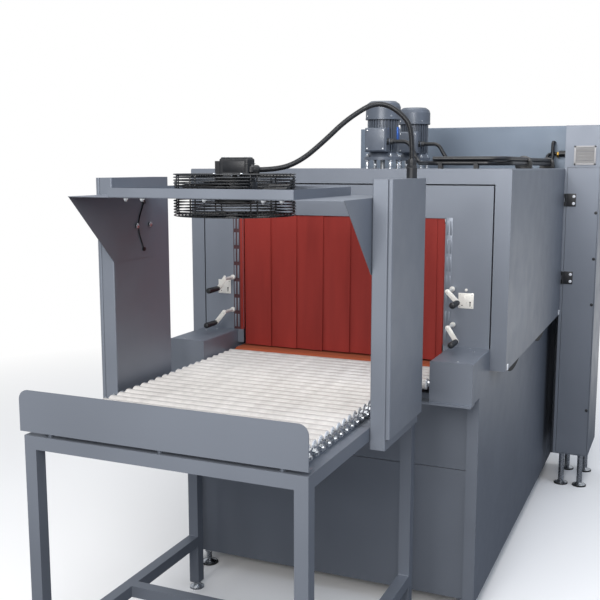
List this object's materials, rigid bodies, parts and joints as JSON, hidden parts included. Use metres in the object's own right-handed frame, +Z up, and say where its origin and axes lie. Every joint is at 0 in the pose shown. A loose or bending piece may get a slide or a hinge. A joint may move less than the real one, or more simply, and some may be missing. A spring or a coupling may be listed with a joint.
{
  "type": "shrink tunnel",
  "caption": "Heat-shrink tunnel for packs: insulated hood with strip curtains over a belt, outfeed roller table with a cooling fan, and a control cabinet.",
  "frame": {"origin": "middle of the footprint, on the floor", "axes": "+X across the line to the control cabinet's side, +Y from the outfeed end to the infeed end, +Z up"},
  "size_m": [1.478, 3.0549, 1.928],
  "materials": {
    "grey_paint": "fine structured powder coat, satin",
    "zinc": "zinc plated",
    "steel": "turned",
    "chamber_steel": "galvanised sheet",
    "motor_grey": "grey enamel over cast aluminium",
    "white_pvc": "extruded PVC tube",
    "red_silicone": "matte silicone sheet",
    "belt_cloth": "silicone-coated glass cloth",
    "black_wire": "black coated wire",
    "black_blade": "black coated pressed steel",
    "black_housing": "moulded black plastic",
    "black_hose": "black conduit"
  },
  "bodies": {
    "root": {"table_frame": "grey_paint", "roller_rails": "grey_paint", "roller_axles": "zinc", "end_stop_plate": "grey_paint", "levelling_feet": "zinc", "cooling_columns": "grey_paint", "canopy": "grey_paint", "fan_tray": "grey_paint", "fan_guard": "black_wire", "fan_motor_box": "black_housing", "fan_hose": "black_hose", "base_cabinet": "grey_paint", "conveyor_frame": "grey_paint", "conveyor_belt": "belt_cloth", "drive_gearmotor": "motor_grey", "hood_shell": "grey_paint", "hood_end_panels": "grey_paint", "heating_chamber": "chamber_steel", "circulation_motors": "motor_grey", "control_cabinet": "grey_paint", "door_hinges": "black_housing", "head_box": "grey_paint", "wiring_conduits": "black_hose"},
    "transfer_roller_1": {"transfer_roller_1": "white_pvc"},
    "transfer_roller_2": {"transfer_roller_2": "white_pvc"},
    "transfer_roller_3": {"transfer_roller_3": "white_pvc"},
    "transfer_roller_4": {"transfer_roller_4": "white_pvc"},
    "transfer_roller_5": {"transfer_roller_5": "white_pvc"},
    "table_roller_01": {"table_roller_01": "white_pvc"},
    "table_roller_02": {"table_roller_02": "white_pvc"},
    "table_roller_03": {"table_roller_03": "white_pvc"},
    "table_roller_04": {"table_roller_04": "white_pvc"},
    "table_roller_05": {"table_roller_05": "white_pvc"},
    "table_roller_06": {"table_roller_06": "white_pvc"},
    "table_roller_07": {"table_roller_07": "white_pvc"},
    "table_roller_08": {"table_roller_08": "white_pvc"},
    "table_roller_09": {"table_roller_09": "white_pvc"},
    "table_roller_10": {"table_roller_10": "white_pvc"},
    "table_roller_11": {"table_roller_11": "white_pvc"},
    "table_roller_12": {"table_roller_12": "white_pvc"},
    "table_roller_13": {"table_roller_13": "white_pvc"},
    "table_roller_14": {"table_roller_14": "white_pvc"},
    "table_roller_15": {"table_roller_15": "white_pvc"},
    "table_roller_16": {"table_roller_16": "white_pvc"},
    "table_roller_17": {"table_roller_17": "white_pvc"},
    "table_roller_18": {"table_roller_18": "white_pvc"},
    "table_roller_19": {"table_roller_19": "white_pvc"},
    "table_roller_20": {"table_roller_20": "white_pvc"},
    "drive_drum": {"drive_drum": "steel"},
    "idler_drum": {"idler_drum": "steel"},
    "impeller_front": {"impeller_front": "chamber_steel"},
    "impeller_rear": {"impeller_rear": "chamber_steel"},
    "fan_rotor": {"fan_rotor": "black_blade"},
    "exit_curtain": {"exit_curtain": "red_silicone"},
    "entry_curtain": {"entry_curtain": "red_silicone"},
    "cabinet_door": {"cabinet_door": "grey_paint"},
    "lever_right_upper": {"lever_right_upper": "zinc"},
    "lever_right_lower": {"lever_right_lower": "zinc"},
    "lever_left_upper": {"lever_left_upper": "zinc"},
    "lever_left_lower": {"lever_left_lower": "zinc"}
  },
  "joints": [
    {"name": "transfer_roller_1_spin", "type": "hinge", "parent": "root", "child": "transfer_roller_1", "pos_m": [-0.085, -0.3575, 0.903], "axis": [1, 0, 0], "continuous": true},
    {"name": "transfer_roller_2_spin", "type": "hinge", "parent": "root", "child": "transfer_roller_2", "pos_m": [-0.085, -0.4025, 0.903], "axis": [1, 0, 0], "continuous": true},
    {"name": "transfer_roller_3_spin", "type": "hinge", "parent": "root", "child": "transfer_roller_3", "pos_m": [-0.085, -0.4475, 0.903], "axis": [1, 0, 0], "continuous": true},
    {"name": "transfer_roller_4_spin", "type": "hinge", "parent": "root", "child": "transfer_roller_4", "pos_m": [-0.085, -0.4925, 0.903], "axis": [1, 0, 0], "continuous": true},
    {"name": "transfer_roller_5_spin", "type": "hinge", "parent": "root", "child": "transfer_roller_5", "pos_m": [-0.085, -0.5375, 0.903], "axis": [1, 0, 0], "continuous": true},
    {"name": "table_roller_01_spin", "type": "hinge", "parent": "root", "child": "table_roller_01", "pos_m": [-0.1295, -0.5825, 0.903], "axis": [1, 0, 0], "continuous": true},
    {"name": "table_roller_02_spin", "type": "hinge", "parent": "root", "child": "table_roller_02", "pos_m": [-0.1295, -0.6275, 0.903], "axis": [1, 0, 0], "continuous": true},
    {"name": "table_roller_03_spin", "type": "hinge", "parent": "root", "child": "table_roller_03", "pos_m": [-0.1295, -0.6725, 0.903], "axis": [1, 0, 0], "continuous": true},
    {"name": "table_roller_04_spin", "type": "hinge", "parent": "root", "child": "table_roller_04", "pos_m": [-0.1295, -0.7175, 0.903], "axis": [1, 0, 0], "continuous": true},
    {"name": "table_roller_05_spin", "type": "hinge", "parent": "root", "child": "table_roller_05", "pos_m": [-0.1295, -0.7625, 0.903], "axis": [1, 0, 0], "continuous": true},
    {"name": "table_roller_06_spin", "type": "hinge", "parent": "root", "child": "table_roller_06", "pos_m": [-0.1295, -0.8075, 0.903], "axis": [1, 0, 0], "continuous": true},
    {"name": "table_roller_07_spin", "type": "hinge", "parent": "root", "child": "table_roller_07", "pos_m": [-0.1295, -0.8525, 0.903], "axis": [1, 0, 0], "continuous": true},
    {"name": "table_roller_08_spin", "type": "hinge", "parent": "root", "child": "table_roller_08", "pos_m": [-0.1295, -0.8975, 0.903], "axis": [1, 0, 0], "continuous": true},
    {"name": "table_roller_09_spin", "type": "hinge", "parent": "root", "child": "table_roller_09", "pos_m": [-0.1295, -0.9425, 0.903], "axis": [1, 0, 0], "continuous": true},
    {"name": "table_roller_10_spin", "type": "hinge", "parent": "root", "child": "table_roller_10", "pos_m": [-0.1295, -0.9875, 0.903], "axis": [1, 0, 0], "continuous": true},
    {"name": "table_roller_11_spin", "type": "hinge", "parent": "root", "child": "table_roller_11", "pos_m": [-0.1295, -1.0325, 0.903], "axis": [1, 0, 0], "continuous": true},
    {"name": "table_roller_12_spin", "type": "hinge", "parent": "root", "child": "table_roller_12", "pos_m": [-0.1295, -1.0775, 0.903], "axis": [1, 0, 0], "continuous": true},
    {"name": "table_roller_13_spin", "type": "hinge", "parent": "root", "child": "table_roller_13", "pos_m": [-0.1295, -1.1225, 0.903], "axis": [1, 0, 0], "continuous": true},
    {"name": "table_roller_14_spin", "type": "hinge", "parent": "root", "child": "table_roller_14", "pos_m": [-0.1295, -1.1675, 0.903], "axis": [1, 0, 0], "continuous": true},
    {"name": "table_roller_15_spin", "type": "hinge", "parent": "root", "child": "table_roller_15", "pos_m": [-0.1295, -1.2125, 0.903], "axis": [1, 0, 0], "continuous": true},
    {"name": "table_roller_16_spin", "type": "hinge", "parent": "root", "child": "table_roller_16", "pos_m": [-0.1295, -1.2575, 0.903], "axis": [1, 0, 0], "continuous": true},
    {"name": "table_roller_17_spin", "type": "hinge", "parent": "root", "child": "table_roller_17", "pos_m": [-0.1295, -1.3025, 0.903], "axis": [1, 0, 0], "continuous": true},
    {"name": "table_roller_18_spin", "type": "hinge", "parent": "root", "child": "table_roller_18", "pos_m": [-0.1295, -1.3475, 0.903], "axis": [1, 0, 0], "continuous": true},
    {"name": "table_roller_19_spin", "type": "hinge", "parent": "root", "child": "table_roller_19", "pos_m": [-0.1295, -1.3925, 0.903], "axis": [1, 0, 0], "continuous": true},
    {"name": "table_roller_20_spin", "type": "hinge", "parent": "root", "child": "table_roller_20", "pos_m": [-0.1295, -1.4375, 0.903], "axis": [1, 0, 0], "continuous": true},
    {"name": "drive_drum_spin", "type": "hinge", "parent": "root", "child": "drive_drum", "pos_m": [-0.085, -0.3045, 0.8897], "axis": [1, 0, 0], "continuous": true},
    {"name": "idler_drum_spin", "type": "hinge", "parent": "root", "child": "idler_drum", "pos_m": [-0.085, 1.1855, 0.8897], "axis": [1, 0, 0], "continuous": true},
    {"name": "impeller_front_spin", "type": "hinge", "parent": "root", "child": "impeller_front", "pos_m": [-0.085, 0.2505, 1.643], "axis": [0, 0, 1], "continuous": true},
    {"name": "impeller_rear_spin", "type": "hinge", "parent": "root", "child": "impeller_rear", "pos_m": [-0.085, 0.7235, 1.643], "axis": [0, 0, 1], "continuous": true},
    {"name": "fan_rotor_spin", "type": "hinge", "parent": "root", "child": "fan_rotor", "pos_m": [-0.1295, -1.0445, 1.563], "axis": [0, 0, 1], "continuous": true},
    {"name": "exit_curtain_swing", "type": "hinge", "parent": "root", "child": "exit_curtain", "pos_m": [-0.085, -0.2555, 1.456], "axis": [1, 0, 0], "range_deg": [-55, 55]},
    {"name": "entry_curtain_swing", "type": "hinge", "parent": "root", "child": "entry_curtain", "pos_m": [-0.085, 1.1365, 1.456], "axis": [1, 0, 0], "range_deg": [-55, 55]},
    {"name": "cabinet_door_swing", "type": "hinge", "parent": "root", "child": "cabinet_door", "pos_m": [0.579, 1.1465, 0.478], "axis": [0, 0, 1], "range_deg": [-90, 0]},
    {"name": "lever_right_upper_turn", "type": "hinge", "parent": "root", "child": "lever_right_upper", "pos_m": [0.365, -0.2695, 1.204], "axis": [0, 1, 0], "range_deg": [-60, 0]},
    {"name": "lever_right_lower_turn", "type": "hinge", "parent": "root", "child": "lever_right_lower", "pos_m": [0.37, -0.2695, 1.071], "axis": [0, 1, 0], "range_deg": [-60, 0]},
    {"name": "lever_left_upper_turn", "type": "hinge", "parent": "root", "child": "lever_left_upper", "pos_m": [-0.548, -0.2695, 1.204], "axis": [0, 1, 0], "range_deg": [0, 50]},
    {"name": "lever_left_lower_turn", "type": "hinge", "parent": "root", "child": "lever_left_lower", "pos_m": [-0.55, -0.2695, 1.07], "axis": [0, 1, 0], "range_deg": [0, 50]}
  ],
  "couplings": [
    {"joint": "idler_drum_spin", "follows": "drive_drum_spin", "ratio": 1}
  ]
}
